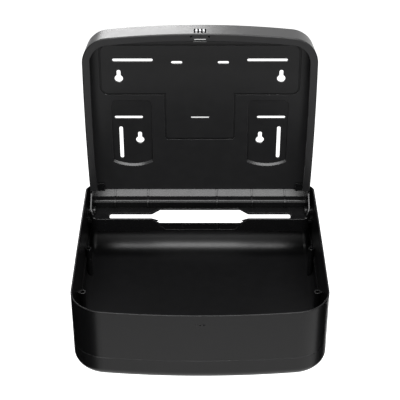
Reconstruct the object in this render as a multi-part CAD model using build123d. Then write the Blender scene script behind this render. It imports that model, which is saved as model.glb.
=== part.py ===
from build123d import *
import math
import os

# Wall-mounted dispenser for folded paper towels, with its cover hanging open.
# Lengths are millimetres. x runs to the right, z up, the wall is the plane y = 0
# and the front faces -y. The origin lies on the wall, on the dispenser's centre line and
# just above the upper hanging screws. "out" is a distance from the wall, so y = -out.

# Cutting shapes run past what they cut, or past the whole object
past = 1.0
far = 400.0

# Fits: a running fit, a thread in its pilot hole and pieces that only pass each other
running_fit = 0.05
thread_fit = 0.05
slip_gap = 0.3

# Back frame: a shallow tray with a front flange round its upper three sides
frame_half_width = 151.5
frame_top = 65.0
frame_out = 35.0
frame_draft = 3.0
frame_wall = 2.2
frame_corner = 36.0
frame_top_bow = 1150.0
frame_side_bow = 4500.0
frame_widest_z = -45.0
frame_foot = -168.0
frame_edge_round = 1.4
flange_width = 10.3
flange_thick = 2.5
flange_edge_round = 0.8

# Chute heights that other pieces follow
chute_foot = -216.0
chute_out = 61.0
chute_wall = 2.4
chute_half_width = frame_half_width - 2.0
chute_side_top = frame_foot - 0.5

# Back plate inside the frame, running down behind the chute
plate_front = 6.5
plate_thick = 2.5
plate_back = plate_front - plate_thick
plate_foot = chute_foot + 2.0
plate_foot_half_width = chute_half_width - 4.5
plate_foot_corner = 6.0
rib_thick = 1.6
rib_columns = (-130.0, -50.0, 0.0, 50.0, 130.0)
rib_rows = (38.0, -36.0, -155.0)
collar_gap = 2.4
collar_wall = 1.8

# Holes in the back plate, each also mirrored. Slots are (x, z, length, height)
upper_screw = (106.5, -1.8)
lower_screw = (81.0, -95.0)
key_stem_width = 5.2
key_drop = 10.0
key_round = 11.0
long_slot = (87.8, 14.8, 53.0, 4.6)
short_slot = (30.4, 11.4, 14.8, 4.2)
lower_slot = (95.2, -69.9, 38.0, 4.2)
upright_slot = (106.2, -109.2, 4.8, 50.0)
centre_slot = (0.0, -69.8, 24.8, 2.4)

# Shallow T-shaped outline groove in the plate
groove_width = 2.6
groove_depth = 1.0
bar_half_width = 130.5
bar_top = 37.0
bar_foot = -34.3
bar_corner = 10.0
stem_half_width = 46.0
stem_foot = -102.0
stem_corner = 4.0

# Recessed pads round the lower holes. Each pad's bed slopes: shallow at its top and
# deepest at its curved foot
pad_centre_x = 91.0
pad_half_width = 27.0
pad_top = -44.0
pad_foot = -138.6
pad_smile = 6.5
pad_top_depth = 0.4
pad_depth = 3.0
pad_side_slope = 1.2
pad_foot_slope = 2.6
pad_corner = 7.0

# Chute: the moulding that holds the towels up and lets them out
chute_corner = 11.0
floor_top = chute_foot + 15.7
floor_thick = 1.6
chute_front_rim = chute_foot + 19.0
rim_edge_round = 0.6
cheek_start_out = 27.2
cheek_foot_out = chute_out - 3.2
cheek_foot_high = 7.4
cheek_rounds = (8.0, 9.0, 1.5)
ledge_back_z = chute_foot + 33.5
ledge_drop = 6.3
ledge_front_z = ledge_back_z - ledge_drop
ledge_slope_out = 15.5
ledge_out = 27.0
ledge_round = 4.0
tab_width = 13.0
tab_inset = 4.4
tab_top = ledge_back_z + 10.0
chute_rib_x = (-117.0, -71.7, 23.4, 71.7, 117.0)
chute_rib_thick = 1.4
chute_rib_out = 1.6

# Dispensing slot in the chute floor
slot_half_length = 123.5
slot_narrow_back = 41.7
slot_narrow_front = 53.2
slot_wide_back = 30.2
slot_wide_half = 54.5
slot_flare_half = 66.0
slot_corner = 2.5
slot_lip_high = 0.9
slot_lip_wide = 2.0

# Finger notch and shallow scoop in the chute front
notch_depth = 7.0
notch_top_half = 66.0
notch_foot_half = 55.0
scoop_top_half = 57.5
scoop_foot_half = 47.0
scoop_top = chute_front_rim - notch_depth - 0.2
scoop_foot = chute_foot + 2.5
scoop_depth = 0.9
scoop_mark_x = 24.0
scoop_mark_wide = 1.2

# Screws that go through the plate into the chute
chute_screw_x = (45.0, 120.0)
chute_screw_z = chute_foot + 11.0
chute_boss_diameter = 8.0
chute_boss_long = 9.0
chute_screw_diameter = 2.8
chute_screw_clear = 0.3
chute_screw_head = 6.0
chute_screw_head_high = 1.8
chute_screw_long = 11.0

# Cover, drawn closed and then swung open about the hinge
cover_wall = 2.4
cover_half_width = frame_half_width + 2.6 + cover_wall
cover_top = frame_top + 2.1 + cover_wall
cover_foot = chute_foot - 2.1 - cover_wall
cover_corner = 44.0
cover_top_bow = 1050.0
cover_side_bow = 20000.0
cover_widest_z = -110.0
cover_rim_out = 8.0
cover_rim_round = 0.9
cover_front_out = 106.6
cover_edge_round = 12.0
cover_bend_round = 30.0
foot_wall_out = chute_out + 11.0
foot_opening_half = chute_half_width + 1.1
seam_out = 76.4
seam_gap = 0.4
seam_lip_long = 4.0
seam_lip_thick = 1.2
open_angle = 90.0

# Hinge between chute and cover
hinge_out = 38.0
hinge_z = chute_foot + 16.5
hinge_pin_diameter = 8.0
hinge_boss_diameter = 15.0
hinge_boss_inner = chute_half_width - 6.0
hinge_boss_outer = chute_half_width + 3.1
hinge_pin_seat = hinge_boss_inner + 1.5
hinge_side_play = 0.4
hinge_eye_diameter = 16.0
hinge_eye_inner = hinge_boss_outer + hinge_side_play
bush_diameter = 11.0

# Open stop: a rib inside the cover comes down on a lug on the chute's side
stop_inner = hinge_boss_diameter / 2 + 2.0
stop_long = 8.5
stop_rib_thick = 3.0
stop_lug_high = 4.5

# Screws that hold the front panel to the cover band, in tubes that stay in front of the
# frame when the cover is closed. Each place is (distance in from the cover's side, z) and
# is also mirrored. The first tube is the longer one
tube_places = ((10.5, -15.0), (6.7, -143.5))
tube_mouths = (frame_out + 1.2, 60.0)
tube_diameter = 8.0
tube_bore = 5.4
tube_web = 3.4
tube_fin = 2.4
panel_boss_diameter = 7.6
panel_boss_sink = 1.2
panel_screw_diameter = 2.9
panel_screw_head = 5.0
panel_screw_head_high = 2.0
panel_screw_long = 15.0

# Three-lever latch in a window at the top centre of the frame
latch_window_half = 7.7
latch_window_back = 15.5
latch_window_front = 31.5
lever_pitch = 4.65
lever_width = 3.2
lever_pivot_out = 29.0
lever_pivot_z = frame_top - 4.4
lever_pin_diameter = 1.6
# Side view of a lever: (out, z) measured from its pivot, nose first
nose_back, nose_front = -8.4, -6.4
nose_high = 5.7
lever_profile = (
    (2.2, 3.8), (-3.4, 3.8), (nose_front, nose_high), (nose_back, nose_high), (-10.2, 4.4),
    (-10.2, 0.7), (-2.6, 0.0), (-1.6, -1.4), (1.4, -1.4), (2.2, -0.4),
)
housing_wall = 1.6
housing_side_gap = 0.1
housing_back = latch_window_back - 3.5
housing_front = latch_window_front - 0.5
housing_foot = frame_top - 8.8
housing_floor = 1.2
housing_back_top = frame_top - 4.6
housing_front_top = frame_top - 3.3
housing_slope_out = housing_back + 8.0
housing_lip_out = frame_out - flange_thick - 0.1
ear_width = 4.0
ear_back = 27.0
ear_foot = frame_top - 7.4
ear_top = frame_top - 2.8
latch_screw_x = latch_window_half + 3.4
latch_screw_z = frame_top - 3.8
latch_screw_diameter = 1.8
latch_screw_head = 2.7
latch_screw_head_high = 0.8
latch_screw_recess = 1.0
latch_screw_long = 6.5
latch_screw_hole = 3.0
latch_dot_z = frame_top - 3.2
latch_dot_diameter = 1.2
sight_slot_half = 7.3
sight_slot_foot = frame_top - 8.7
sight_slot_top = frame_top - 6.6
core_window_half = 8.6
core_window_foot = frame_top - 24.0
core_window_top = frame_top - 18.2

# Leaf spring under each lever
leaf_thick = 0.3
leaf_width = 2.6
leaf_gap = 0.3
leaf_foot_long = 5.4

# Keeper inside the cover top, with a pocket and a key slot for each lever
keeper_half = 8.6
keeper_back = 14.0
keeper_front = 29.0
keeper_foot = frame_top + 0.35
keeper_seat_gap = 0.05
pocket_margin = 2.5
pocket_width = lever_width + 0.6
key_slot_width = 2.8
key_slot_high = 1.6
keeper_peg_x = 6.6
keeper_peg_out = 27.2
keeper_peg_diameter = 1.8
keeper_peg_high = 1.3


def bowed_outline(half_width, top, corner, top_bow, side_bow, widest_z, foot, grow=0.0):
    """Front view outline: bowed top, bowed sides, round upper corners and a level foot."""
    top_centre = (0.0, top - top_bow)
    side_centre = (half_width - side_bow, widest_z)
    reach_top = top_bow - corner
    reach_side = side_bow - corner
    gap_x = side_centre[0] - top_centre[0]
    gap_z = side_centre[1] - top_centre[1]
    gap = math.hypot(gap_x, gap_z)
    along = (reach_top**2 - reach_side**2 + gap**2) / (2 * gap)
    across_gap = math.sqrt(reach_top**2 - along**2)
    corner_x = top_centre[0] + (along * gap_x + across_gap * gap_z) / gap
    corner_z = top_centre[1] + (along * gap_z - across_gap * gap_x) / gap
    top_turn = math.atan2(corner_z - top_centre[1], corner_x - top_centre[0])
    side_turn = math.atan2(corner_z - side_centre[1], corner_x - side_centre[0])

    def on_circle(centre, radius, turn):
        return (centre[0] + radius * math.cos(turn), centre[1] + radius * math.sin(turn))

    radius_top = top_bow + grow
    radius_side = side_bow + grow
    foot_turn = math.asin((foot - widest_z) / radius_side)
    crown = on_circle(top_centre, radius_top, math.pi / 2)
    top_end = on_circle(top_centre, radius_top, top_turn)
    corner_mid = on_circle((corner_x, corner_z), corner + grow, (top_turn + side_turn) / 2)
    side_start = on_circle(side_centre, radius_side, side_turn)
    side_mid = on_circle(side_centre, radius_side, (side_turn + foot_turn) / 2)
    side_end = on_circle(side_centre, radius_side, foot_turn)

    def mirrored(point):
        return (-point[0], point[1])

    edges = [
        ThreePointArc(mirrored(top_end), crown, top_end),
        ThreePointArc(top_end, corner_mid, side_start),
        ThreePointArc(side_start, side_mid, side_end),
        Line(side_end, mirrored(side_end)),
        ThreePointArc(mirrored(side_end), mirrored(side_mid), mirrored(side_start)),
        ThreePointArc(mirrored(side_start), mirrored(corner_mid), mirrored(top_end)),
    ]
    return make_face(edges)


def frame_outline(grow=0.0, foot=frame_foot):
    return bowed_outline(
        frame_half_width, frame_top, frame_corner, frame_top_bow,
        frame_side_bow, frame_widest_z, foot, grow,
    )


def cover_outline(grow=0.0):
    return bowed_outline(
        cover_half_width, cover_top, cover_corner, cover_top_bow,
        cover_side_bow, cover_widest_z, cover_foot - grow, grow,
    )


def slab(face, out_from, out_to):
    """A front view face made solid between two distances from the wall."""
    return extrude(Plane.XZ.offset(out_from) * face, out_to - out_from)


def upright(face, z_from, z_to):
    """A plan face made solid between two heights."""
    return extrude(Plane.XY.offset(z_from) * face, z_to - z_from)


def across(points, x_from, x_to):
    """A side view polygon of (out, z) points made solid between two x values."""
    face = make_face(Polyline([(-out, z) for out, z in points], close=True))
    return extrude(Plane.YZ.offset(x_from) * face, x_to - x_from)


def block(x_from, x_to, out_from, out_to, z_from, z_to):
    """A plain block given by its limits."""
    size = (x_to - x_from, out_to - out_from, z_to - z_from)
    centre = ((x_from + x_to) / 2, -(out_from + out_to) / 2, (z_from + z_to) / 2)
    return Pos(*centre) * Box(*size)


def rod_out(x, z, diameter, out_from, out_to):
    """A round bar square to the wall."""
    return slab(Pos(x, z) * Circle(diameter / 2), out_from, out_to)


def rod_across(out, z, diameter, x_from, x_to):
    """A round bar parallel to the wall and level."""
    return extrude(Plane.YZ.offset(x_from) * Pos(-out, z) * Circle(diameter / 2), x_to - x_from)


def both_sides(shape):
    return [shape, mirror(shape, Plane.YZ)]


def stadium(centre_x, centre_z, length, height, grow=0.0):
    """A slot outline with round ends, lying or upright."""
    long_side = max(length, height) + 2 * grow
    short_side = min(length, height) + 2 * grow
    turn = 0 if length >= height else 90
    return Pos(centre_x, centre_z) * Rot(0, 0, turn) * SlotOverall(long_side, short_side)


def keyhole(screw_x, screw_z, grow=0.0):
    """A hanging hole: the screw head goes in below and the shank seats at the top."""
    stem = stadium(screw_x, screw_z - key_drop / 2, key_stem_width, key_drop + key_stem_width, grow)
    head = Pos(screw_x, screw_z - key_drop) * Circle(key_round / 2 + grow)
    return stem + head


def plate_holes(grow=0.0):
    """All the holes of one half of the plate, and the one in the middle."""
    half = [
        keyhole(*upper_screw, grow),
        keyhole(*lower_screw, grow),
        stadium(*long_slot, grow),
        stadium(*short_slot, grow),
        stadium(*lower_slot, grow),
        stadium(*upright_slot, grow),
    ]
    mirrored = [mirror(hole, Plane.YZ) for hole in half]
    middle = stadium(*centre_slot, grow)
    return half + mirrored + [middle]


def tee_outline(grow):
    """The T-shaped outline pressed into the plate."""
    half_bar = bar_half_width + grow
    half_stem = stem_half_width + grow
    points = [
        (-half_bar, bar_top + grow), (half_bar, bar_top + grow),
        (half_bar, bar_foot - grow), (half_stem, bar_foot - grow),
        (half_stem, stem_foot - grow), (-half_stem, stem_foot - grow),
        (-half_stem, bar_foot - grow), (-half_bar, bar_foot - grow),
    ]
    face = make_face(Polyline(points, close=True))
    bar_corners = [v for v in face.vertices() if abs(v.X) > half_bar - past]
    face = fillet(bar_corners, bar_corner + grow)
    stem_corners = [v for v in face.vertices() if v.Y < stem_foot - grow + past]
    return fillet(stem_corners, stem_corner + grow)


def pad_recess():
    """The shallow dish round one group of lower holes, with a curved sloping foot."""
    def dish(side_slope, foot_slope):
        left = pad_centre_x - pad_half_width + side_slope
        right = pad_centre_x + pad_half_width - side_slope
        top = pad_top - side_slope
        foot = pad_foot + foot_slope
        edges = [
            Line((left, foot), (left, top)),
            Line((left, top), (right, top)),
            Line((right, top), (right, foot)),
            ThreePointArc((right, foot), (pad_centre_x, foot - pad_smile), (left, foot)),
        ]
        face = make_face(edges)
        upper = [v for v in face.vertices() if v.Y > top - past]
        return fillet(upper, pad_corner)

    mouth = Plane.XZ.offset(plate_front) * dish(0.0, 0.0)
    bed = Plane.XZ.offset(plate_front - pad_depth) * dish(pad_side_slope, pad_foot_slope)
    return loft([mouth, bed], ruled=True) & sloping_bed(plate_front)


def sloping_bed(level):
    """The wedge between a level face of the plate and the slope of the pad's bed."""
    lowest = pad_foot - pad_smile
    points = [
        (level, pad_top), (level - pad_top_depth, pad_top), (level - pad_depth, lowest), (level, lowest),
    ]
    return across(points, 0, far)


def pad_backing():
    """The plate stock behind the dish, so that the wall keeps its thickness."""
    width = 2 * pad_half_width
    height = pad_top - pad_foot + pad_smile
    centre_z = (pad_top + pad_foot - pad_smile) / 2
    face = Pos(pad_centre_x, centre_z) * RectangleRounded(width, height, pad_corner)
    return slab(face, plate_back - pad_depth, plate_back) & sloping_bed(plate_back)


def make_tray():
    """The frame's drafted wall with its front flange, edges rounded."""
    wall_edge = Plane.XZ * frame_outline(-frame_draft)
    front_edge = Plane.XZ.offset(frame_out) * frame_outline()
    tray = loft([wall_edge, front_edge], ruled=True)
    front_face = tray.faces().sort_by(Axis.Y)[0]
    foot_edge = front_face.edges().sort_by(Axis.Z)[0]
    tray = fillet([edge for edge in front_face.edges() if edge != foot_edge], frame_edge_round)

    below = frame_foot - frame_corner
    flange_back = frame_out - flange_thick
    inner_wall_edge = Plane.XZ.offset(-past) * frame_outline(-frame_draft - frame_wall, below)
    inner_front_edge = Plane.XZ.offset(flange_back) * frame_outline(-frame_wall, below)
    tray -= loft([inner_wall_edge, inner_front_edge], ruled=True)
    tray -= slab(frame_outline(-flange_width, below), flange_back - past, frame_out + past)
    front_face = tray.faces().sort_by(Axis.Y)[0]
    inner_edges = front_face.edges().filter_by(lambda edge: edge.center().Z > frame_foot + past)
    inner_edges = [edge for edge in inner_edges if is_flange_inner(edge)]
    return fillet(inner_edges, flange_edge_round)


def is_flange_inner(edge):
    """True for the edges of the flange that face the middle of the frame."""
    middle = edge @ 0.5
    inner_top = frame_top - flange_width / 2
    inner_side = frame_half_width - flange_width / 2 - frame_draft
    corner_reach = frame_corner - flange_width / 2
    if middle.Z > inner_top or abs(middle.X) > inner_side:
        return False
    from_corner_x = abs(middle.X) - (frame_half_width - frame_corner)
    from_corner_z = middle.Z - (frame_top - frame_corner)
    in_corner = from_corner_x > 0 and from_corner_z > 0
    return not in_corner or math.hypot(from_corner_x, from_corner_z) < corner_reach


def make_back_frame():
    """Tray with front flange, back plate, hanging holes and stiffening ribs."""
    plate_grow = -frame_draft - frame_wall / 2
    plate = slab(frame_outline(plate_grow), plate_back, plate_front)
    foot_height = frame_foot - plate_foot + frame_corner
    foot_centre = plate_foot + foot_height / 2
    foot_plan = RectangleRounded(2 * plate_foot_half_width, foot_height, plate_foot_corner)
    foot_face = Pos(0, foot_centre) * foot_plan
    plate += slab(foot_face, plate_back, plate_front)
    body = make_tray() + plate

    inside = slab(frame_outline(plate_grow), 0, plate_back)
    inside += slab(foot_face, 0, plate_back)
    half_rib = rib_thick / 2
    ribs = []
    for rib_x in rib_columns:
        ribs.append(block(rib_x - half_rib, rib_x + half_rib, 0, plate_back, -far, far))
    for rib_z in rib_rows:
        ribs.append(block(-far, far, 0, plate_back, rib_z - half_rib, rib_z + half_rib))
    grid = ribs[0].fuse(*ribs[1:]) & inside
    collars = [slab(face, 0, plate_back) for face in plate_holes(collar_gap + collar_wall)]
    body = body.fuse(grid, *collars)
    body -= [slab(face, -past, plate_back) for face in plate_holes(collar_gap)]
    body += both_sides(pad_backing())

    cuts = both_sides(pad_recess())
    cuts += [slab(face, -past, plate_front + past) for face in plate_holes()]
    groove_bed = plate_front - groove_depth
    groove = slab(tee_outline(groove_width / 2), groove_bed, plate_front + past)
    cuts.append(groove - slab(tee_outline(-groove_width / 2), groove_bed - past, plate_front + 2 * past))
    screw_hole = chute_screw_diameter + 2 * chute_screw_clear
    through_plate = (plate_back - past, plate_front + past)
    for screw_x in chute_screw_x:
        cuts += both_sides(rod_out(screw_x, chute_screw_z, screw_hole, *through_plate))
    cuts.append(block(
        -latch_window_half, latch_window_half, latch_window_back, latch_window_front,
        sight_slot_top, frame_top + past,
    ))
    flange_back = frame_out - flange_thick
    cuts.append(block(
        -sight_slot_half, sight_slot_half, flange_back - past, frame_out + past,
        sight_slot_foot, sight_slot_top,
    ))
    cuts.append(block(
        -core_window_half, core_window_half, -past, plate_front + past, core_window_foot, core_window_top,
    ))
    front_hole = (flange_back - past, frame_out + past)
    cuts += both_sides(rod_out(latch_screw_x, latch_screw_z, latch_screw_hole, *front_hole))
    cuts.append(rod_out(0, latch_dot_z, latch_dot_diameter, *front_hole))
    return body - cuts


def slot_outline(grow=0.0):
    """Plan outline of the dispensing slot: narrow ends and a wide middle."""
    back = slot_narrow_back - grow
    front = slot_narrow_front + grow
    wide_back = slot_wide_back - grow
    wide_front = chute_out - chute_wall + grow
    end = slot_half_length + grow
    flare = slot_flare_half + grow / 2
    wide = slot_wide_half + grow / 2
    right = [
        (wide, wide_front), (flare, front), (end, front), (end, back), (flare, back), (wide, wide_back),
    ]
    left = [(-x, out) for x, out in reversed(right)]
    face = make_face(Polyline([(x, -out) for x, out in right + left], close=True))
    return fillet(face.vertices(), slot_corner + grow)


def rounded_chute_rim(body):
    """Round the long edges along the top of the cheeks and the front."""
    rim_edges = []
    for edge in body.edges():
        across_wall = edge.length < chute_wall + running_fit and abs((edge % 0.5).X) > running_fit
        on_rim = (edge @ 0.5).Z > chute_front_rim - slip_gap
        upright_edge = abs((edge % 0.5).Z) > 1 - running_fit
        if on_rim and not across_wall and not upright_edge:
            rim_edges.append(edge)
    return fillet(rim_edges, rim_edge_round)


def trapezium(top_half, top, foot_half, foot):
    """Front view of a notch with sloping ends."""
    points = [(-top_half, top), (top_half, top), (foot_half, foot), (-foot_half, foot)]
    return make_face(Polyline(points, close=True))


def chute_plan(grow=0.0):
    """Plan outline of the chute, with round front corners."""
    half = chute_half_width + grow
    front = chute_out + grow
    points = [(-half, -plate_front), (half, -plate_front), (half, -front), (-half, -front)]
    face = make_face(Polyline(points, close=True))
    front_corners = face.vertices().group_by(Axis.Y)[0]
    return fillet(front_corners, chute_corner + grow)


def chute_rim_cut():
    """Everything above the rim: level behind, sloping down the cheeks, level at the front."""
    slope_head = (-cheek_start_out, chute_side_top)
    slope_foot = (-cheek_foot_out, chute_front_rim + cheek_foot_high)
    front_inner = (-cheek_foot_out - slip_gap, chute_front_rim)
    front, top = -chute_out - past, chute_side_top + far
    points = [
        (0, chute_side_top), slope_head, slope_foot, front_inner,
        (front, chute_front_rim), (front, top), (0, top),
    ]
    face = make_face(Polyline(points, close=True))
    for corner, radius in zip((slope_head, slope_foot, front_inner), cheek_rounds):
        face = fillet(face.vertices().sort_by_distance(corner)[0], radius)
    return extrude(Plane.YZ.offset(-far) * face, 2 * far)


def chute_ledge():
    """Rear flange, ledge that slopes and then runs level, and drop wall in one section along x."""
    inner_out = ledge_out - chute_wall
    inner_z = ledge_front_z - chute_wall
    steepness = ledge_drop / (ledge_slope_out - plate_front)
    slope_inner_z = ledge_back_z - chute_wall * (1 + steepness)
    points = [
        (plate_front, ledge_back_z), (ledge_slope_out, ledge_front_z), (ledge_out, ledge_front_z),
        (ledge_out, floor_top - floor_thick), (inner_out, floor_top - floor_thick),
        (inner_out, inner_z), (ledge_slope_out, inner_z), (plate_front + chute_wall, slope_inner_z),
        (plate_front + chute_wall, chute_foot), (plate_front, chute_foot),
    ]
    face = make_face(Polyline([(-out, z) for out, z in points], close=True))
    nose = face.vertices().sort_by_distance((-ledge_out, ledge_front_z))[0]
    face = fillet(nose, ledge_round)
    half = chute_half_width - chute_wall / 2
    return extrude(Plane.YZ.offset(-half) * face, 2 * half)


def chute_rib(rib_x):
    """A thin upright rib that crosses the ledge and runs down to the floor."""
    front = ledge_out + chute_rib_out
    inner = ledge_out - chute_wall / 2
    crest_z = ledge_front_z + chute_rib_out / 2
    root_z = ledge_front_z - chute_wall / 2
    points = [
        (plate_front + chute_wall / 2, ledge_back_z + chute_rib_out / 3),
        (ledge_slope_out, crest_z), (inner, crest_z),
        (front, ledge_front_z - chute_rib_out), (front, floor_top),
        (inner, floor_top), (inner, root_z), (ledge_slope_out, root_z),
        (plate_front + chute_wall / 2, ledge_back_z - chute_wall),
    ]
    return across(points, rib_x - chute_rib_thick / 2, rib_x + chute_rib_thick / 2)


def make_towel_chute():
    """Towel support with cheeks, ledge, slotted floor, front skirt and hinge bosses."""
    inner_plan = chute_plan(-chute_wall)
    inner_half = chute_half_width - chute_wall
    body = upright(chute_plan(), chute_foot, chute_side_top + past)
    body -= upright(inner_plan, chute_foot - past, chute_side_top + 2 * past)
    body -= block(-inner_half, inner_half, 0, plate_front + chute_wall + past, -far, far)
    body = rounded_chute_rim(body - chute_rim_cut())
    floor = upright(inner_plan, floor_top - floor_thick, floor_top)
    floor -= block(-far, far, 0, ledge_out - chute_wall, -far, far)
    slot_middle = (slot_narrow_back + slot_narrow_front) / 2
    lip = upright(slot_outline(slot_lip_wide), floor_top - floor_thick, floor_top + slot_lip_high)
    lip &= block(-far, far, ledge_out, slot_middle, -far, far)
    tab_outer = chute_half_width - tab_inset
    tabs = both_sides(block(
        tab_outer - tab_width, tab_outer, plate_front, plate_front + chute_wall,
        ledge_back_z - chute_wall, tab_top,
    ))
    bosses = both_sides(rod_across(
        hinge_out, hinge_z, hinge_boss_diameter, hinge_boss_inner, hinge_boss_outer,
    ))
    lug_top = hinge_z - stop_rib_thick / 2 - slip_gap
    lugs = both_sides(block(
        inner_half, cover_half_width - cover_wall - 2 * slip_gap,
        hinge_out + stop_inner, hinge_out + stop_inner + stop_long, lug_top - stop_lug_high, lug_top,
    ))
    screw_bosses = []
    for screw_x in chute_screw_x:
        screw_bosses += both_sides(rod_out(
            screw_x, chute_screw_z, chute_boss_diameter, plate_front, plate_front + chute_boss_long,
        ))
    ribs = [chute_rib(rib_x) for rib_x in chute_rib_x]
    body = body.fuse(floor, lip, chute_ledge(), *ribs, *tabs, *bosses, *lugs, *screw_bosses)

    notch_end_slope = (notch_top_half - notch_foot_half) / notch_depth
    cut_top_half = notch_top_half + past * notch_end_slope
    notch = slab(
        trapezium(cut_top_half, chute_front_rim + past, notch_foot_half, chute_front_rim - notch_depth),
        chute_out - chute_wall - past, chute_out + past,
    )
    scoop = slab(
        trapezium(scoop_top_half, scoop_top, scoop_foot_half, scoop_foot),
        chute_out - scoop_depth, chute_out + past,
    )
    scoop -= both_sides(block(
        scoop_mark_x - scoop_mark_wide / 2, scoop_mark_x + scoop_mark_wide / 2, 0, far,
        scoop_foot + past, far,
    ))
    cuts = [notch, scoop, upright(slot_outline(), chute_foot, floor_top + slot_lip_high + past)]
    pilot = chute_screw_diameter + 2 * thread_fit
    boss_end = plate_front + chute_boss_long
    for screw_x in chute_screw_x:
        cuts += both_sides(rod_out(screw_x, chute_screw_z, pilot, plate_front - past, boss_end + past))
    pin_hole = hinge_pin_diameter + 2 * running_fit
    cuts += both_sides(rod_across(hinge_out, hinge_z, pin_hole, hinge_pin_seat, hinge_boss_outer + past))
    return body - cuts


def screw_out(x, z, diameter, head, head_high, seat_out, length):
    """A screw driven away from the wall, with its head against seat_out."""
    shank = rod_out(x, z, diameter, seat_out, seat_out + length)
    return shank + rod_out(x, z, head, seat_out - head_high, seat_out)


def make_chute_screws():
    screws = []
    for screw_x in chute_screw_x:
        screws += both_sides(screw_out(
            screw_x, chute_screw_z, chute_screw_diameter, chute_screw_head,
            chute_screw_head_high, plate_back, chute_screw_long,
        ))
    return screws


def make_hinge_pin():
    end = cover_half_width - 2 * slip_gap
    return rod_across(hinge_out, hinge_z, hinge_pin_diameter, hinge_pin_seat + running_fit, end)


def make_hinge_bush():
    end = cover_half_width - slip_gap
    bore = hinge_pin_diameter + 2 * running_fit
    bush = rod_across(hinge_out, hinge_z, bush_diameter, hinge_eye_inner, end)
    return bush - rod_across(hinge_out, hinge_z, bore, hinge_eye_inner - past, end + past)


def cover_body(grow=0.0):
    """The closed cover's solid shape: bowed outline, round edges and a large lower bend."""
    front = cover_front_out + grow
    foot = cover_foot - grow
    back = cover_rim_out + min(2 * grow, 0)
    prism = slab(cover_outline(grow), back, front)
    points = [(0, foot), (-front, foot), (-front, far), (0, far)]
    profile = make_face(Polyline(points, close=True))
    bend = profile.vertices().sort_by_distance((-front, foot))[0]
    profile = fillet(bend, cover_bend_round + grow)
    body = prism & extrude(Plane.YZ.offset(-far) * profile, 2 * far)
    front_face = body.faces().sort_by(Axis.Y)[0]
    foot_edge = front_face.edges().sort_by(Axis.Z)[0]
    rim_edges = [edge for edge in front_face.edges() if edge != foot_edge]
    return fillet(rim_edges, cover_edge_round + grow)


def between(out_from, out_to):
    """A block that spans everything between two distances from the wall."""
    return block(-far, far, out_from, out_to, -far, far)


def cover_posts(diameter, starts, out_to, trim):
    """Round posts with a fin to the side wall, trimmed to the inside of the cover."""
    posts = []
    for (inset, post_z), out_from in zip(tube_places, starts):
        post_x = cover_half_width - inset
        post = rod_out(post_x, post_z, diameter, out_from, out_to)
        fin_from, fin_to = post_z - tube_fin / 2, post_z + tube_fin / 2
        post += block(post_x, cover_half_width, out_from, out_to, fin_from, fin_to)
        posts += both_sides(post & trim)
    return posts


def post_holes(diameter, out_to):
    """Round holes along the posts, from the wall side to out_to."""
    holes = []
    for inset, post_z in tube_places:
        holes += both_sides(rod_out(cover_half_width - inset, post_z, diameter, 0, out_to))
    return holes


def keeper_pegs(grow=0.0):
    """The keeper's two pegs, or their holes when grown."""
    top = keeper_top() + keeper_peg_high + grow
    peg = upright(Circle(keeper_peg_diameter / 2 + grow), keeper_foot + past, top)
    return both_sides(Pos(keeper_peg_x, -keeper_peg_out, 0) * peg)


def keeper_top():
    """Height of the keeper's flat top, just under the bowed inside of the cover."""
    bow_drop = keeper_half**2 / (2 * cover_top_bow)
    return cover_top - cover_wall - bow_drop - keeper_seat_gap


def rounded_rim(band):
    """Round the two edges of the cover's rim."""
    rim_face = band.faces().sort_by(Axis.Y)[-1]
    edges = [edge for edge in rim_face.edges() if edge.length > cover_corner]
    return fillet(edges, cover_rim_round)


def swung_open(shape):
    """Carry a piece of the closed cover to the open position."""
    hinge = Axis((0, -hinge_out, hinge_z), (1, 0, 0))
    return shape.rotate(hinge, open_angle)


def make_cover():
    """The cover band and the front panel, both in the closed position."""
    outer = cover_body()
    shell = outer - cover_body(-cover_wall)
    trim = cover_body(-cover_wall / 2)
    shell -= block(-foot_opening_half, foot_opening_half, 0, foot_wall_out, -far, hinge_z)

    band = rounded_rim(shell & between(0, seam_out))
    inside_wall = cover_half_width - cover_wall / 2
    tubes = cover_posts(tube_diameter, tube_mouths, seam_out, trim)
    eyes = both_sides(rod_across(hinge_out, hinge_z, hinge_eye_diameter, hinge_eye_inner, inside_wall))
    stops = both_sides(block(
        chute_half_width + 2 * slip_gap, inside_wall,
        hinge_out - stop_rib_thick / 2, hinge_out + stop_rib_thick / 2,
        hinge_z + stop_inner, hinge_z + stop_inner + stop_long,
    ))
    band = band.fuse(*tubes, *eyes, *stops)
    shank_hole = panel_screw_diameter + 2 * thread_fit
    bush_hole = bush_diameter + 2 * running_fit
    cuts = post_holes(tube_bore, seam_out - tube_web) + post_holes(shank_hole, far)
    cuts += both_sides(rod_across(hinge_out, hinge_z, bush_hole, hinge_eye_inner - past, far))
    nose_out = lever_pivot_out + (nose_back + nose_front) / 2
    for place in (-1, 0, 1):
        slot_x = place * lever_pitch
        cuts.append(block(
            slot_x - key_slot_width / 2, slot_x + key_slot_width / 2,
            nose_out - key_slot_high / 2, nose_out + key_slot_high / 2, frame_top, far,
        ))
    band -= cuts + keeper_pegs(running_fit)

    panel_back = seam_out + seam_gap
    panel = shell & between(panel_back, far)
    lip_inner = cover_body(-cover_wall - seam_lip_thick)
    lip = (cover_body(-cover_wall - thread_fit) - lip_inner) & between(seam_out - seam_lip_long, panel_back)
    lip += (trim - lip_inner) & between(panel_back, panel_back + seam_lip_long / 2)
    from_seam = (panel_back, panel_back)
    lip -= cover_posts(tube_diameter + 2 * slip_gap, tube_mouths, panel_back, outer)
    bosses = cover_posts(panel_boss_diameter, from_seam, cover_front_out - panel_boss_sink, trim)
    panel = panel.fuse(lip, *bosses) - post_holes(shank_hole, seam_out + panel_screw_long)
    return band, panel


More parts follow.
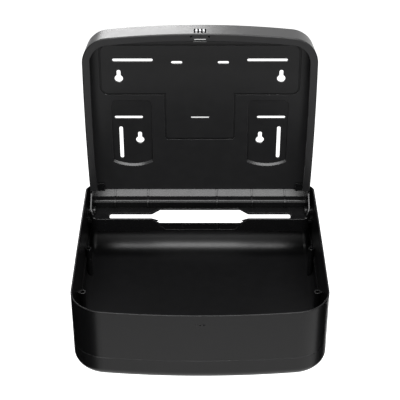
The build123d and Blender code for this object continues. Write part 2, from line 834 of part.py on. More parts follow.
def make_panel_screws():
    screws = []
    for inset, post_z in tube_places:
        screws += both_sides(screw_out(
            cover_half_width - inset, post_z, panel_screw_diameter, panel_screw_head,
            panel_screw_head_high, seam_out - tube_web, panel_screw_long,
        ))
    return screws


def make_keeper():
    """A plate inside the cover top that the three levers hold."""
    body = block(-keeper_half, keeper_half, keeper_back, keeper_front, keeper_foot, keeper_top())
    body = body.fuse(*keeper_pegs())
    pockets = []
    for place in (-1, 0, 1):
        pocket_x = place * lever_pitch
        pockets.append(block(
            pocket_x - pocket_width / 2, pocket_x + pocket_width / 2,
            lever_pivot_out + nose_back - pocket_margin, lever_pivot_out + nose_front + pocket_margin,
            0, far,
        ))
    return body - pockets


def make_latch_housing():
    """The cradle under the latch window that carries the lever pin."""
    half = latch_window_half + housing_side_gap
    outer_half = half + housing_wall
    body = block(
        -outer_half, outer_half, housing_back, housing_front, housing_foot, housing_foot + housing_floor,
    )
    side_points = [
        (housing_back, housing_foot), (housing_front, housing_foot), (housing_front, ear_foot),
        (housing_lip_out, ear_foot), (housing_lip_out, housing_front_top), (ear_back, housing_front_top),
        (housing_slope_out, housing_back_top), (housing_back, housing_back_top),
    ]
    sides = both_sides(across(side_points, half, outer_half))
    rear = block(
        -outer_half, outer_half, housing_back, housing_back + housing_wall, housing_foot, housing_back_top,
    )
    ears = both_sides(block(
        half + housing_wall / 2, outer_half + ear_width, ear_back, housing_lip_out, ear_foot, ear_top,
    ))
    body = body.fuse(rear, *sides, *ears)
    pilot = latch_screw_diameter + 2 * thread_fit
    body -= both_sides(rod_out(latch_screw_x, latch_screw_z, pilot, 0, frame_out))
    seat = lever_pin_diameter + 2 * running_fit
    return body - rod_across(lever_pivot_out, lever_pivot_z, seat, -far, far)


def make_latch_screws():
    face = frame_out - latch_screw_recess
    seat = face - latch_screw_head_high
    shank = rod_out(latch_screw_x, latch_screw_z, latch_screw_diameter, seat - latch_screw_long, seat)
    head = rod_out(latch_screw_x, latch_screw_z, latch_screw_head, seat, face)
    return both_sides(shank + head)


def make_lever_pin():
    half = latch_window_half + housing_wall
    return rod_across(lever_pivot_out, lever_pivot_z, lever_pin_diameter, -half, half)


def make_lever(lever_x):
    """A latch lever with a ramped nose that stands proud of the frame top."""
    points = [(lever_pivot_out + out, lever_pivot_z + z) for out, z in lever_profile]
    body = across(points, lever_x - lever_width / 2, lever_x + lever_width / 2)
    bore = lever_pin_diameter + 2 * running_fit
    return body - rod_across(lever_pivot_out, lever_pivot_z, bore, -far, far)


def make_leaf_spring(lever_x):
    """A bent steel strip that lifts the back end of one lever."""
    foot = housing_foot + housing_floor
    lever_end_out, lever_end_z = lever_profile[5]
    tip_out = lever_pivot_out + lever_end_out + leaf_thick
    tip_z = lever_pivot_z + lever_end_z - leaf_gap
    bend_out = tip_out + tip_z - foot
    foot_end = bend_out + leaf_foot_long
    points = [
        (foot_end, foot), (bend_out, foot), (tip_out, tip_z - leaf_thick), (tip_out + leaf_thick, tip_z),
        (bend_out + leaf_thick / 2, foot + leaf_thick), (foot_end, foot + leaf_thick),
    ]
    return across(points, lever_x - leaf_width / 2, lever_x + leaf_width / 2)


def save(shape, name):
    """Write one piece, or a group of like pieces, as its own file."""
    if isinstance(shape, list):
        shape = Compound(children=[solid for piece in shape for solid in piece.solids()])
    export_step(shape, f"parts/{name}.step")


os.makedirs("parts", exist_ok=True)
save(make_back_frame(), "back_frame")
save(make_towel_chute(), "towel_chute")
save(make_chute_screws(), "chute_screws")
pin_right, pin_left = both_sides(make_hinge_pin())
save(pin_left, "hinge_pin_left")
save(pin_right, "hinge_pin_right")
bush_right, bush_left = both_sides(make_hinge_bush())
save(swung_open(bush_left), "hinge_bush_left")
save(swung_open(bush_right), "hinge_bush_right")
cover_band, front_panel = make_cover()
save(swung_open(cover_band), "cover_band")
save(swung_open(front_panel), "front_panel")
save([swung_open(screw) for screw in make_panel_screws()], "panel_screws")
save(swung_open(make_keeper()), "latch_keeper")
save(make_latch_housing(), "latch_housing")
save(make_latch_screws(), "latch_screws")
save(make_lever_pin(), "lever_pin")
for name, place in (("left", -1), ("centre", 0), ("right", 1)):
    save(make_lever(place * lever_pitch), f"latch_lever_{name}")
    save(make_leaf_spring(place * lever_pitch), f"lever_spring_{name}")
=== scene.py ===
import bpy
import bmesh
import math
from mathutils import Matrix, Vector


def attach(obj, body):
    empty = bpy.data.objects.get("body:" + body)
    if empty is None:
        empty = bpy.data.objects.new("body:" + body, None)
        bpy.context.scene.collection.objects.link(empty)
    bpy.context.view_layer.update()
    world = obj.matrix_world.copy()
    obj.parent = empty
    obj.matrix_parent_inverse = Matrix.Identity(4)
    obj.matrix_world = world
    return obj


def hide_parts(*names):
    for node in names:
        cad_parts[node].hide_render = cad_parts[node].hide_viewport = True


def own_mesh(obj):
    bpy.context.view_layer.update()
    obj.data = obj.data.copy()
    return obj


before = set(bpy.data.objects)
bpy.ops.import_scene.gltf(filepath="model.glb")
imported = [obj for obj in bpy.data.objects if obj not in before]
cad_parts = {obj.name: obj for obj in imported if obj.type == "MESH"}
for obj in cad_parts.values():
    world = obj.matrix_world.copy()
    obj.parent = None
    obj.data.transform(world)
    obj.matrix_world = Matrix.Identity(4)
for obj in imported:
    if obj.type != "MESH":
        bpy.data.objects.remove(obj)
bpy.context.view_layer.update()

# Camera
# Straight in front of the dispenser and above it, looking down into the hanging cover.
# A long lens, level left to right, with no shift and no depth of field.
sensor_width = 36.0
lens_length = 106.56
camera_place = (0.0, -1.4, 0.6905)
camera_pitch = math.radians(32.6)
level_view = math.radians(90)

camera_data = bpy.data.cameras.new("camera")
camera_data.sensor_width = sensor_width
camera_data.lens = lens_length
camera = bpy.data.objects.new("camera", camera_data)
bpy.context.scene.collection.objects.link(camera)
camera.location = camera_place
camera.rotation_euler = (level_view - camera_pitch, 0.0, 0.0)
bpy.context.scene.camera = camera
bpy.context.scene.view_settings.view_transform = "Standard"

# Floor and surroundings
# A pale floor 1.2 m below the dispenser and a soft white room, as in a product studio.
# Camera, glossy and transmission rays see them as plain white; other light stays moderate.
floor_depth = 1.2
floor_reach = 6.0
floor_paint = (0.78, 0.78, 0.78, 1.0)
floor_glow = 0.90
room_strength = 0.10
seen_strength = 1.0
room_white = (1.0, 1.0, 1.0, 1.0)


def add_node(tree, kind, **inputs):
    """Add a shader node and set some of its inputs by name, with _ for a space."""
    node = tree.nodes.new(kind)
    for name, value in inputs.items():
        node.inputs[name.replace("_", " ")].default_value = value
    return node


def seen_directly(tree):
    """1 for camera, glossy and transmission rays, and 0 for the diffuse light."""
    path = tree.nodes.new("ShaderNodeLightPath")
    total = path.outputs["Is Camera Ray"]
    for ray in ("Is Glossy Ray", "Is Transmission Ray"):
        larger = tree.nodes.new("ShaderNodeMath")
        larger.operation = "MAXIMUM"
        tree.links.new(total, larger.inputs[0])
        tree.links.new(path.outputs[ray], larger.inputs[1])
        total = larger.outputs[0]
    return total


floor_mesh = bpy.data.meshes.new("floor")
corner_signs = ((-1, -1), (1, -1), (1, 1), (-1, 1))
floor_corners = [(x * floor_reach, y * floor_reach, -floor_depth) for x, y in corner_signs]
floor_mesh.from_pydata(floor_corners, [], [(0, 1, 2, 3)])
floor = bpy.data.objects.new("floor", floor_mesh)
bpy.context.scene.collection.objects.link(floor)

pale_paint = bpy.data.materials.new("pale_paint")
pale_paint.use_nodes = True
tree = pale_paint.node_tree
tree.nodes.clear()
paint = add_node(tree, "ShaderNodeBsdfDiffuse", Color=floor_paint)
glow = add_node(tree, "ShaderNodeEmission", Strength=floor_glow)
glowing_paint = tree.nodes.new("ShaderNodeAddShader")
floor_mix = tree.nodes.new("ShaderNodeMixShader")
floor_output = tree.nodes.new("ShaderNodeOutputMaterial")
tree.links.new(paint.outputs[0], glowing_paint.inputs[0])
tree.links.new(glow.outputs[0], glowing_paint.inputs[1])
tree.links.new(seen_directly(tree), floor_mix.inputs[0])
tree.links.new(paint.outputs[0], floor_mix.inputs[1])
tree.links.new(glowing_paint.outputs[0], floor_mix.inputs[2])
tree.links.new(floor_mix.outputs[0], floor_output.inputs["Surface"])
floor_mesh.materials.append(pale_paint)

surroundings = bpy.data.worlds.new("surroundings")
surroundings.use_nodes = True
bpy.context.scene.world = surroundings
tree = surroundings.node_tree
tree.nodes.clear()
room_light = add_node(tree, "ShaderNodeBackground", Color=room_white, Strength=room_strength)
seen_white = add_node(tree, "ShaderNodeBackground", Color=room_white, Strength=seen_strength)
room_mix = tree.nodes.new("ShaderNodeMixShader")
room_output = tree.nodes.new("ShaderNodeOutputWorld")
tree.links.new(seen_directly(tree), room_mix.inputs[0])
tree.links.new(room_light.outputs[0], room_mix.inputs[1])
tree.links.new(seen_white.outputs[0], room_mix.inputs[2])
tree.links.new(room_mix.outputs[0], room_output.inputs["Surface"])

# Lamps
# Large soft boxes. The one overhead gives the bright ledge and the line along the cover's
# inside bend, the one behind on the left gives the sheen along the frame's top, and the
# one in front lights the plate and the cover's near wall.
def soft_box(name, place, aim, size, watts):
    """A rectangular lamp at place, turned towards aim. size is its width and height."""
    data = bpy.data.lights.new(name, "AREA")
    data.shape = "RECTANGLE"
    data.size, data.size_y = size
    data.energy = watts
    lamp = bpy.data.objects.new(name, data)
    lamp.location = place
    lamp.rotation_euler = (Vector(aim) - Vector(place)).to_track_quat("-Z", "Y").to_euler()
    bpy.context.scene.collection.objects.link(lamp)


dispenser_middle = (0.0, -0.1, -0.1)
frame_top = (0.0, 0.0, 0.05)
soft_box("box_overhead", place=(0.0, -0.60, 1.5), aim=dispenser_middle, size=(1.9, 0.7), watts=76.0)
soft_box("box_back_left", place=(-0.88, 1.9, 0.66), aim=frame_top, size=(2.0, 0.5), watts=26.0)
soft_box("box_front", place=(0.1, -2.4, 0.25), aim=dispenser_middle, size=(1.6, 0.8), watts=24.0)

# Dark cards
# Black cards beside and behind the dispenser keep its black sides and the inside of its
# cover dark, as a studio does for a black product. The camera itself doesn't see them.
card_cloth_tint = (0.004, 0.004, 0.004, 1.0)
low_heights = (-1.2, 0.35)
high_heights = (0.35, 1.1)
behind_heights = (-0.45, -0.15)

card_black = bpy.data.materials.new("card_black")
card_black.use_nodes = True
tree = card_black.node_tree
tree.nodes.clear()
card_cloth = add_node(tree, "ShaderNodeBsdfDiffuse", Color=card_cloth_tint)
card_output = tree.nodes.new("ShaderNodeOutputMaterial")
tree.links.new(card_cloth.outputs[0], card_output.inputs["Surface"])


def dark_card(name, start, end, heights, throws_shadow=False):
    """An upright black card over the line from start to end on the floor."""
    mesh = bpy.data.meshes.new(name)
    foot, top = heights
    corners = [(*start, foot), (*end, foot), (*end, top), (*start, top)]
    mesh.from_pydata(corners, [], [(0, 1, 2, 3)])
    mesh.materials.append(card_black)
    card = bpy.data.objects.new(name, mesh)
    bpy.context.scene.collection.objects.link(card)
    card.visible_camera = False
    card.visible_diffuse = False
    card.visible_shadow = throws_shadow


dark_card("dark_card_left", (-0.6, -0.8), (-0.6, 1.3), low_heights)
dark_card("dark_card_left_front", (-0.8, -1.3), (-0.6, -0.8), low_heights)
dark_card("dark_card_left_high", (-0.6, -0.8), (-0.6, 0.4), high_heights)
dark_card("dark_card_right", (0.7, -0.35), (0.7, 0.5), low_heights)
dark_card("dark_card_behind", (-0.2, 0.03), (0.2, 0.03), behind_heights, throws_shadow=True)

# Back frame
# One moulding of black ABS: a shallow tray with a front flange and a ribbed back plate. It
# comes from a spark-eroded steel tool, so its skin has a very fine even grain.
grain_pitch = 0.00035
grain_height = 0.000012
grain_detail = 3.0
grain_raggedness = 0.65
mottle_pitch = 0.012
mottle_detail = 2.0
mottle_limits = (0.3, 0.7)
mottle_lift = 1.10
mottle_roughness = 0.02
edge_rounding = 0.00035
edge_limits = (0.01, 0.10)
corner_reach = 0.005
corner_shade_limits = (0.40, 0.92)
open_limits = (0.72, 0.95)
light_samples = 8
wear_pitch = 0.004
wear_detail = 4.0
wear_limits = (0.3, 0.6)
least_wear = 0.55
dust_patch = 0.018
dust_detail = 5.0
dust_raggedness = 0.6
dust_limits = (0.35, 0.8)
upward_limits = (0.55, 0.95)
# A lighter tint on the outer edges, partly wear and partly a painted highlight along them.
wear_and_highlight_tint = (0.17, 0.17, 0.173, 1.0)
# Painted shade: the inner corners are darkened in colour and lose some gloss.
painted_corner_shade = (0.003, 0.003, 0.003, 1.0)
dust_tint = (0.34, 0.33, 0.31, 1.0)
plastic_gloss = 0.20
polished_gloss = 0.6
corner_shade_gloss_loss = 0.9
rubbed_smoothness = 0.08
dust_roughness = 0.5
frame_black = (0.0105, 0.0105, 0.0109, 1.0)
frame_roughness = 0.28


def new_group(name, inputs, outputs):
    """An empty shader node group with named sockets, and its two end nodes."""
    group = bpy.data.node_groups.new(name, "ShaderNodeTree")
    for socket, start in inputs.items():
        item = group.interface.new_socket(socket, in_out="INPUT", socket_type="NodeSocketFloat")
        item.default_value = start
    for socket in outputs:
        kind = "NodeSocketVector" if socket == "Normal" else "NodeSocketFloat"
        group.interface.new_socket(socket, in_out="OUTPUT", socket_type=kind)
    return group, group.nodes.new("NodeGroupInput"), group.nodes.new("NodeGroupOutput")


def math_node(tree, operation, *terms):
    """A Math node whose inputs are sockets or plain numbers. Returns its output."""
    node = tree.nodes.new("ShaderNodeMath")
    node.operation = operation
    for place, term in enumerate(terms):
        if isinstance(term, bpy.types.NodeSocket):
            tree.links.new(term, node.inputs[place])
        else:
            node.inputs[place].default_value = term
    return node.outputs[0]


def ramp(tree, value, limits, ends=(0.0, 1.0)):
    """Map value between two limits to between two ends, held there, with a soft step."""
    node = tree.nodes.new("ShaderNodeMapRange")
    node.interpolation_type = "SMOOTHSTEP"
    tree.links.new(value, node.inputs["Value"])
    for name, amount in zip(("From Min", "From Max", "To Min", "To Max"), (*limits, *ends)):
        node.inputs[name].default_value = amount
    return node.outputs["Result"]


def spotted(tree, pitch, detail, raggedness=0.5):
    """A noise over the piece, with spots about pitch metres wide. Returns 0 to 1."""
    place = tree.nodes.new("ShaderNodeTexCoord")
    noise = add_node(tree, "ShaderNodeTexNoise", Detail=detail, Roughness=raggedness)
    tree.links.new(place.outputs["Object"], noise.inputs["Vector"])
    if isinstance(pitch, bpy.types.NodeSocket):
        tree.links.new(math_node(tree, "DIVIDE", 1.0, pitch), noise.inputs["Scale"])
    else:
        noise.inputs["Scale"].default_value = 1.0 / pitch
    return noise.outputs["Fac"]


def make_tool_grain():
    """Height of the grain left by the tool, and a slow mottle from the plastic's flow."""
    group, given, result = new_group("tool_grain", {"Pitch": grain_pitch}, ("Height", "Mottle"))
    grain = spotted(group, given.outputs["Pitch"], grain_detail, grain_raggedness)
    group.links.new(grain, result.inputs["Height"])
    mottle = ramp(group, spotted(group, mottle_pitch, mottle_detail), mottle_limits)
    group.links.new(mottle, result.inputs["Mottle"])
    return group


def make_edge_wear_highlight_shade():
    """Mask of the outer edges, for their wear and a painted highlight, mask of the inner
    corners, for a painted shade, and the normal of the edges' small rounding."""
    group, given, result = new_group("edge_wear_highlight_shade", {"Amount": 0.5}, ("Mask", "Corner Shade", "Normal"))
    rounding = add_node(group, "ShaderNodeBevel", Radius=edge_rounding)
    rounding.samples = light_samples
    group.links.new(rounding.outputs["Normal"], result.inputs["Normal"])
    surface = group.nodes.new("ShaderNodeNewGeometry")
    agree = group.nodes.new("ShaderNodeVectorMath")
    agree.operation = "DOT_PRODUCT"
    group.links.new(rounding.outputs["Normal"], agree.inputs[0])
    group.links.new(surface.outputs["Normal"], agree.inputs[1])
    turned = math_node(group, "SUBTRACT", 1.0, agree.outputs["Value"])
    edge = ramp(group, turned, edge_limits)
    openness = add_node(group, "ShaderNodeAmbientOcclusion", Distance=corner_reach)
    openness.samples = light_samples
    outer = ramp(group, openness.outputs["AO"], open_limits)
    broken = ramp(group, spotted(group, wear_pitch, wear_detail), wear_limits, (least_wear, 1.0))
    mask = math_node(group, "MULTIPLY", math_node(group, "MULTIPLY", edge, outer), broken)
    weighted = math_node(group, "MULTIPLY", mask, given.outputs["Amount"])
    group.links.new(weighted, result.inputs["Mask"])
    # The inner corners get painted shade where the occlusion is strong.
    corner = ramp(group, openness.outputs["AO"], corner_shade_limits, (1.0, 0.0))
    group.links.new(corner, result.inputs["Corner Shade"])
    return group


def make_settled_dust():
    """Mask of the thin dust on surfaces that face up."""
    group, given, result = new_group("settled_dust", {"Amount": 0.5}, ("Mask",))
    surface = group.nodes.new("ShaderNodeTexCoord")
    parts = group.nodes.new("ShaderNodeSeparateXYZ")
    group.links.new(surface.outputs["Normal"], parts.inputs[0])
    facing_up = ramp(group, parts.outputs["Z"], upward_limits)
    patches = ramp(group, spotted(group, dust_patch, dust_detail, dust_raggedness), dust_limits)
    mask = math_node(group, "MULTIPLY", facing_up, patches)
    weighted = math_node(group, "MULTIPLY", mask, given.outputs["Amount"])
    group.links.new(weighted, result.inputs["Mask"])
    return group


tool_grain = make_tool_grain()
edge_wear_highlight_shade = make_edge_wear_highlight_shade()
settled_dust = make_settled_dust()


def place_group(tree, group, **inputs):
    """Put a node group into a tree and set its inputs by name."""
    node = tree.nodes.new("ShaderNodeGroup")
    node.node_tree = group
    for name, value in inputs.items():
        node.inputs[name].default_value = value
    return node


def mix_colours(tree, mask, first, second):
    """Mix two colours, each a socket or four plain numbers, by a mask."""
    first_place, second_place, mixed_place = 6, 7, 2
    node = tree.nodes.new("ShaderNodeMix")
    node.data_type = "RGBA"
    tree.links.new(mask, node.inputs["Factor"])
    for place, colour in ((first_place, first), (second_place, second)):
        if isinstance(colour, bpy.types.NodeSocket):
            tree.links.new(colour, node.inputs[place])
        else:
            node.inputs[place].default_value = colour
    return node.outputs[mixed_place]


def bump_normal(tree, height, distance, under=None):
    """A normal with a fine relief, laid over another normal where one is given."""
    bump = add_node(tree, "ShaderNodeBump", Distance=distance, Strength=1.0)
    tree.links.new(height, bump.inputs["Height"])
    if under:
        tree.links.new(under, bump.inputs["Normal"])
    return bump.outputs["Normal"]


def moulded_plastic(name, colour, roughness, wear_and_highlight_amount, dust=0.006, grain=grain_height):
    """Black plastic from a grained tool, a little dusty. Its outer edges get a lighter tint,
    partly wear and partly painted highlight, and its inner corners get painted shade.
    """
    material = bpy.data.materials.new(name)
    material.use_nodes = True
    tree = material.node_tree
    shader = tree.nodes["Principled BSDF"]
    skin = place_group(tree, tool_grain, Pitch=grain_pitch)
    wear_highlight_and_shade = place_group(tree, edge_wear_highlight_shade, Amount=wear_and_highlight_amount)
    dusty = place_group(tree, settled_dust, Amount=dust)
    paler = tuple(channel * mottle_lift for channel in colour[:3]) + (1.0,)
    base = mix_colours(tree, skin.outputs["Mottle"], colour, paler)
    # Painted shade in the inner corners.
    base = mix_colours(tree, wear_highlight_and_shade.outputs["Corner Shade"], base, painted_corner_shade)
    base = mix_colours(tree, dusty.outputs["Mask"], base, dust_tint)
    # Lighter outer edges: partly wear, partly a painted highlight.
    base = mix_colours(tree, wear_highlight_and_shade.outputs["Mask"], base, wear_and_highlight_tint)
    tree.links.new(base, shader.inputs["Base Color"])
    # The painted shade also takes gloss away in the inner corners.
    corner_shade_loss = -plastic_gloss * corner_shade_gloss_loss
    shaded = math_node(tree, "MULTIPLY_ADD", wear_highlight_and_shade.outputs["Corner Shade"], corner_shade_loss, plastic_gloss)
    polished = math_node(tree, "MULTIPLY", wear_highlight_and_shade.outputs["Mask"], polished_gloss)
    tree.links.new(math_node(tree, "ADD", shaded, polished), shader.inputs["Specular IOR Level"])
    uneven = math_node(tree, "MULTIPLY_ADD", skin.outputs["Mottle"], mottle_roughness, roughness)
    smoother = math_node(tree, "MULTIPLY", wear_highlight_and_shade.outputs["Mask"], rubbed_smoothness)
    duller = math_node(tree, "MULTIPLY", dusty.outputs["Mask"], dust_roughness)
    rough = math_node(tree, "ADD", math_node(tree, "SUBTRACT", uneven, smoother), duller)
    tree.links.new(rough, shader.inputs["Roughness"])
    relief = bump_normal(tree, skin.outputs["Height"], grain, wear_highlight_and_shade.outputs["Normal"])
    tree.links.new(relief, shader.inputs["Normal"])
    return material


def finish_node(name, material):
    """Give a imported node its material."""
    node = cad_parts[name]
    node.data.materials.clear()
    node.data.materials.append(material)


frame_plastic = moulded_plastic("frame_plastic", frame_black, frame_roughness, wear_and_highlight_amount=0.4)
finish_node("back_frame", frame_plastic)

# Towel chute
# A second black moulding: it carries the towels on its ledge and lets them out through
# the slot. The towels have polished it a little, so it is the glossier of the two.
chute_black = (0.0032, 0.0032, 0.0034, 1.0)
chute_roughness = 0.26
chute_plastic = moulded_plastic("chute_plastic", chute_black, chute_roughness, wear_and_highlight_amount=0.35, dust=0.0)
finish_node("towel_chute", chute_plastic)

# Chute screws
# Four thread-forming pan-head screws of zinc-plated steel with a cross recess. They go
# in from behind the plate, into the bosses on the chute's back.
brush_depth = 0.000004
brush_detail = 2.0
brush_unevenness = 0.12
upright_lines = (60.0, 60.0, 900.0)
tarnish_patch = 0.004
tarnish_detail = 3.0
tarnish_limits = (0.45, 0.7)
weld_reach = 0.000001
screw_sides = 32
thread_pitch_share = 0.36
thread_depth_share = 0.16
thread_sharpness = 4.0
rows_per_turn = 6
fewest_rows = 12
tip_share = 0.9
tip_narrowness = 0.25
head_edge_share = 0.45
seat_edge_share = 0.3
crown_share = 0.55
crown_steps = 6
recess_width_share = 0.13
recess_reach_share = 0.60
recess_depth_share = 0.62
recess_foot_reach = 0.35
recess_foot_width = 0.6
cutter_height_share = 1.5
zinc_tint = (0.60, 0.61, 0.62, 1.0)
zinc_shadow = (0.36, 0.37, 0.38, 1.0)
zinc_roughness = 0.32


def make_brushed_lines():
    """Height of fine lines along one direction, and the mask of dull patches."""
    group, given, result = new_group("brushed_lines", {}, ("Height", "Tarnish"))
    group.interface.new_socket("Lines", in_out="INPUT", socket_type="NodeSocketVector")
    place = group.nodes.new("ShaderNodeTexCoord")
    stretched = group.nodes.new("ShaderNodeVectorMath")
    stretched.operation = "MULTIPLY"
    group.links.new(place.outputs["Object"], stretched.inputs[0])
    group.links.new(given.outputs["Lines"], stretched.inputs[1])
    noise = add_node(group, "ShaderNodeTexNoise", Scale=1.0, Detail=brush_detail)
    group.links.new(stretched.outputs[0], noise.inputs["Vector"])
    group.links.new(noise.outputs["Fac"], result.inputs["Height"])
    dull = ramp(group, spotted(group, tarnish_patch, tarnish_detail), tarnish_limits)
    group.links.new(dull, result.inputs["Tarnish"])
    return group


brushed_lines = make_brushed_lines()


def plated_metal(name, colour, shadow, roughness, brush=upright_lines):
    """Bright metal with fine brush lines. brush gives the lines per metre along x, y and z."""
    material = bpy.data.materials.new(name)
    material.use_nodes = True
    tree = material.node_tree
    shader = tree.nodes["Principled BSDF"]
    shader.inputs["Metallic"].default_value = 1.0
    lines = place_group(tree, brushed_lines)
    lines.inputs["Lines"].default_value = brush
    tint = mix_colours(tree, lines.outputs["Tarnish"], colour, shadow)
    tree.links.new(tint, shader.inputs["Base Color"])
    uneven = math_node(tree, "MULTIPLY_ADD", lines.outputs["Height"], brush_unevenness, roughness)
    tree.links.new(uneven, shader.inputs["Roughness"])
    tree.links.new(bump_normal(tree, lines.outputs["Height"], brush_depth), shader.inputs["Normal"])
    return material


def loose_boxes(name):
    """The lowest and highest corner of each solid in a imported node."""
    joined = bmesh.new()
    joined.from_mesh(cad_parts[name].data)
    bmesh.ops.remove_doubles(joined, verts=joined.verts, dist=weld_reach)
    boxes = []
    waiting = set(joined.verts)
    while waiting:
        reached = [waiting.pop()]
        corners = []
        while reached:
            vertex = reached.pop()
            corners.append(vertex.co.copy())
            for edge in vertex.link_edges:
                other = edge.other_vert(vertex)
                if other in waiting:
                    waiting.remove(other)
                    reached.append(other)
        low = Vector([min(corner[axis] for corner in corners) for axis in range(3)])
        high = Vector([max(corner[axis] for corner in corners) for axis in range(3)])
        boxes.append((low, high))
    joined.free()
    return sorted(boxes, key=lambda box: tuple(box[0]))


def ring(mesh, radius, height, swell=None):
    """A ring of vertices round the z axis. swell(turn) adds to the radius."""
    vertices = []
    for step in range(screw_sides):
        turn = 2 * math.pi * step / screw_sides
        reach = radius + (swell(turn) if swell else 0.0)
        vertices.append(mesh.verts.new((reach * math.cos(turn), reach * math.sin(turn), height)))
    return vertices


def join_rings(mesh, lower, upper):
    """Close the wall between two rings of as many vertices."""
    for step in range(len(lower)):
        after = (step + 1) % len(lower)
        mesh.faces.new((lower[step], lower[after], upper[after], upper[step]))


def screw_mesh(name, head_radius, head_high, shank_radius, shank_long):
    """A pan-head screw along z: the head's top faces +z and its seat is at z = 0."""
    mesh = bmesh.new()
    pitch = shank_radius * 2 * thread_pitch_share
    depth = shank_radius * thread_depth_share
    tip = shank_radius * tip_share
    rows = max(int(shank_long / pitch * rows_per_turn), fewest_rows)
    rings = []
    for row in range(rows + 1):
        height = -shank_long + shank_long * row / rows
        narrow = min(1.0, tip_narrowness + (1.0 - tip_narrowness) * (height + shank_long) / tip)

        def swell(turn, height=height, narrow=narrow):
            phase = (height / pitch - turn / (2 * math.pi)) % 1.0
            return depth * max(0.0, 1.0 - abs(phase - 0.5) * thread_sharpness) * narrow

        rings.append(ring(mesh, (shank_radius - depth) * narrow, height, swell))
    seat_edge = head_high * head_edge_share * seat_edge_share
    rings.append(ring(mesh, head_radius - seat_edge, 0.0))
    rings.append(ring(mesh, head_radius, seat_edge))
    for step in range(1, crown_steps + 1):
        turn = math.pi / 2 * step / crown_steps
        reach = head_radius * (crown_share + (1.0 - crown_share) * math.cos(turn))
        rings.append(ring(mesh, reach, seat_edge + (head_high - seat_edge) * math.sin(turn)))
    for lower, upper in zip(rings, rings[1:]):
        join_rings(mesh, lower, upper)
    mesh.faces.new(reversed(rings[0]))
    mesh.faces.new(rings[-1])
    data = bpy.data.meshes.new(name)
    mesh.to_mesh(data)
    mesh.free()
    return data


def cross_cutter(head_radius, head_high):
    """A tapered cross that cuts the driver's recess."""
    mesh = bmesh.new()
    half = head_radius * recess_width_share
    reach = head_radius * recess_reach_share
    foot_half = half * recess_foot_width
    foot_reach = reach * recess_foot_reach
    top_height = head_high * cutter_height_share
    foot_height = head_high - head_high * recess_depth_share
    for turn in (0, math.pi / 2):
        turned = Matrix.Rotation(turn, 3, "Z")
        top, foot = [], []
        for x, y in corner_signs:
            top.append(mesh.verts.new(turned @ Vector((x * reach, y * half, top_height))))
            foot.append(mesh.verts.new(turned @ Vector((x * foot_reach, y * foot_half, foot_height))))
        join_rings(mesh, foot, top)
        mesh.faces.new(reversed(foot))
        mesh.faces.new(top)
    data = bpy.data.meshes.new("cross_cutter")
    mesh.to_mesh(data)
    mesh.free()
    return bpy.data.objects.new("cross_cutter", data)


def apply_modifiers(piece):
    """Bake a piece's modifiers into its mesh."""
    bpy.context.view_layer.update()
    result = piece.evaluated_get(bpy.context.evaluated_depsgraph_get())
    data = bpy.data.meshes.new_from_object(result)
    piece.modifiers.clear()
    piece.data = data


def recessed_screw(name, head_radius, head_high, shank_radius, shank_long):
    """A screw's mesh with the driver's recess cut into its head."""
    plain = screw_mesh(name, head_radius, head_high, shank_radius, shank_long)
    single = bpy.data.objects.new(name, plain)
    cutter = cross_cutter(head_radius, head_high)
    for thing in (single, cutter):
        bpy.context.scene.collection.objects.link(thing)
    cut = single.modifiers.new("recess", "BOOLEAN")
    cut.object = cutter
    cut.solver = "EXACT"
    cut.use_self = True
    apply_modifiers(single)
    data = single.data
    bpy.data.objects.remove(single)
    bpy.data.objects.remove(cutter)
    return data


def add_piece(name, mesh, material, body, node):
    """Make a finished piece from a bmesh, ride it on a body and let it stand for a node."""
    data = bpy.data.meshes.new(name)
    mesh.to_mesh(data)
    mesh.free()
    data.materials.append(material)
    piece = bpy.data.objects.new(name, data)
    bpy.context.scene.collection.objects.link(piece)
    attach(piece, body)
    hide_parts(node)
    return piece


def screws_for(node, body, axis, material, head_radius, head_high, shank_radius):
    """Detailed screws in place of a node's plain ones. axis points out of the head."""
    along = Vector(axis)
    turn = Vector((0, 0, 1)).rotation_difference(along).to_matrix().to_4x4()
    boxes = loose_boxes(node)
    long_side = abs((boxes[0][1] - boxes[0][0]).dot(along))
    single = recessed_screw(node, head_radius, head_high, shank_radius, long_side - head_high)
    joined = bmesh.new()
    for low, high in boxes:
        seat = (low + high) / 2 + along * (long_side / 2 - head_high)
        placed = single.copy()
        placed.transform(Matrix.Translation(seat) @ turn)
        joined.from_mesh(placed)
        bpy.data.meshes.remove(placed)
    bpy.data.meshes.remove(single)
    add_piece(node + "_detailed", joined, material, body, node)


zinc_plate = plated_metal("zinc_plate", zinc_tint, zinc_shadow, zinc_roughness)
chute_screw_size = {"head_radius": 0.003, "head_high": 0.0018, "shank_radius": 0.0014}
screws_for("chute_screws", "wall_unit", (0, 1, 0), zinc_plate, **chute_screw_size)

# Hinge pins and bushes
# Plain nylon pins pressed into the chute's bosses, and the bushes that turn on them in the
# cover's eyes. They are smoother than the mouldings, because they come from polished tools.
pin_grey = (0.030, 0.030, 0.031, 1.0)
pin_roughness = 0.24
pin_finish = {"wear_and_highlight_amount": 0.2, "dust": 0.02, "grain": 0.000004}
pin_plastic = moulded_plastic("pin_plastic", pin_grey, pin_roughness, **pin_finish)
for side in ("left", "right"):
    finish_node("hinge_pin_" + side, pin_plastic)
    finish_node("hinge_bush_" + side, pin_plastic)

# Cover
# Two mouldings of the same black ABS: the band that is hinged to the chute, and the front
# panel with its large bend. They meet at a fine seam and close over the frame.
cover_black = (0.0028, 0.0028, 0.0030, 1.0)
cover_roughness = 0.28
panel_roughness = 0.34
band_plastic = moulded_plastic("band_plastic", cover_black, cover_roughness, wear_and_highlight_amount=0.3, dust=0.0)
panel_plastic = moulded_plastic("panel_plastic", cover_black, panel_roughness, wear_and_highlight_amount=0.5, dust=0.0)
finish_node("cover_band", band_plastic)
finish_node("front_panel", panel_plastic)

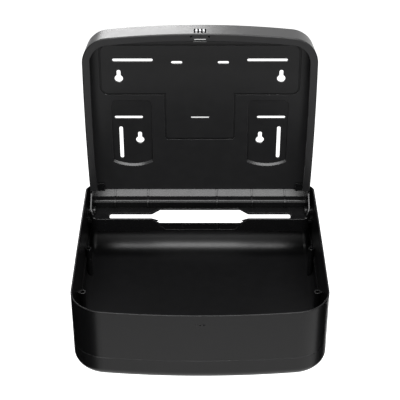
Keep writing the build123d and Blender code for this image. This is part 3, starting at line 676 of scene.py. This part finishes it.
# Panel screws
# Four more pan-head screws, down the tubes at the band's corners, that pull the front
# panel against the band.
panel_screw_size = {"head_radius": 0.0025, "head_high": 0.0020, "shank_radius": 0.00145}
screws_for("panel_screws", "cover", (0, 0, 1), zinc_plate, **panel_screw_size)

# Latch keeper
# A small moulded plate under the cover's top wall, with a pocket for the nose of each
# lever. It is pegged and welded in place.
keeper_plastic = moulded_plastic("keeper_plastic", pin_grey, pin_roughness, wear_and_highlight_amount=0.6, dust=0.0)
finish_node("latch_keeper", keeper_plastic)

# Latch cradle
# The small moulded cradle under the window in the frame's top. It carries the levers' pin
# and the leaf springs, and two small screws hold it to the front flange.
oxide_tint = (0.010, 0.010, 0.011, 1.0)
oxide_shadow = (0.006, 0.006, 0.006, 1.0)
oxide_roughness = 0.45
cradle_plastic = moulded_plastic("cradle_plastic", frame_black, frame_roughness, wear_and_highlight_amount=0.3)
finish_node("latch_housing", cradle_plastic)
latch_screw_size = {"head_radius": 0.00135, "head_high": 0.0008, "shank_radius": 0.0009}
black_oxide = plated_metal("black_oxide", oxide_tint, oxide_shadow, oxide_roughness)
screws_for("latch_screws", "wall_unit", (0, -1, 0), black_oxide, **latch_screw_size)

# Lever pin and leaf springs
# The pin is ground steel wire. Each spring is a strip of blued spring steel that lies in
# the cradle and lifts the back of one lever. It flattens as the lever is pushed down.
lever_names = ("left", "centre", "right")
steel_tint = (0.55, 0.55, 0.56, 1.0)
steel_shadow = (0.30, 0.30, 0.31, 1.0)
steel_roughness = 0.22
blued_tint = (0.16, 0.17, 0.20, 1.0)
blued_shadow = (0.09, 0.09, 0.11, 1.0)
blued_roughness = 0.30
flat_angle = math.radians(1.0)
sharp_angle = math.radians(25.0)
round_steps = 3
round_profile = 0.5
spring_rounding = 0.00008


def rounded_copy(node, body, material, rounding, reshape=None):
    """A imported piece's shape with its sharp edges rounded. reshape(mesh) may ease it first."""
    mesh = bmesh.new()
    mesh.from_mesh(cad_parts[node].data)
    bmesh.ops.remove_doubles(mesh, verts=mesh.verts, dist=weld_reach)
    bmesh.ops.dissolve_limit(mesh, angle_limit=flat_angle, verts=mesh.verts, edges=mesh.edges)
    if reshape:
        reshape(mesh)
    joined = [edge for edge in mesh.edges if edge.is_manifold]
    sharp = [edge for edge in joined if edge.calc_face_angle() > sharp_angle]
    bmesh.ops.bevel(
        mesh, geom=sharp, offset=rounding, segments=round_steps, profile=round_profile,
        affect="EDGES", clamp_overlap=True,
    )
    return add_piece(node + "_rounded", mesh, material, body, node)


pin_steel = plated_metal("pin_steel", steel_tint, steel_shadow, steel_roughness)
finish_node("lever_pin", pin_steel)
spring_steel = plated_metal("spring_steel", blued_tint, blued_shadow, blued_roughness)
for side in lever_names:
    leaf = rounded_copy("lever_spring_" + side, "wall_unit", spring_steel, spring_rounding)
    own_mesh(leaf)

# Latch levers
# Three die-cast levers with a ramped nose that stands proud of the frame's top. They are
# plated black nickel.
lever_nickel = (0.27, 0.27, 0.275, 1.0)
lever_dull = (0.20, 0.20, 0.205, 1.0)
lever_roughness = 0.34
lever_lines = (900.0, 80.0, 80.0)
lever_rounding = 0.0003
lever_draft = 0.065
nose_depth = 0.0020
nose_ease = 0.0008


def cast_lever(mesh):
    """Give a lever's sides the casting's draft and lean the back of its nose forward."""
    middle = sum(vertex.co.x for vertex in mesh.verts) / len(mesh.verts)
    foot = min(vertex.co.z for vertex in mesh.verts)
    top = max(vertex.co.z for vertex in mesh.verts)
    back = max(vertex.co.y for vertex in mesh.verts)
    for vertex in mesh.verts:
        inward = lever_draft * (vertex.co.z - foot)
        vertex.co.x += inward if vertex.co.x < middle else -inward
        if vertex.co.z > top - nose_depth and vertex.co.y > back - nose_depth:
            vertex.co.y -= nose_ease


black_nickel = plated_metal("black_nickel", lever_nickel, lever_dull, lever_roughness, lever_lines)
for side in lever_names:
    rounded_copy("latch_lever_" + side, "lever_" + side, black_nickel, lever_rounding, cast_lever)
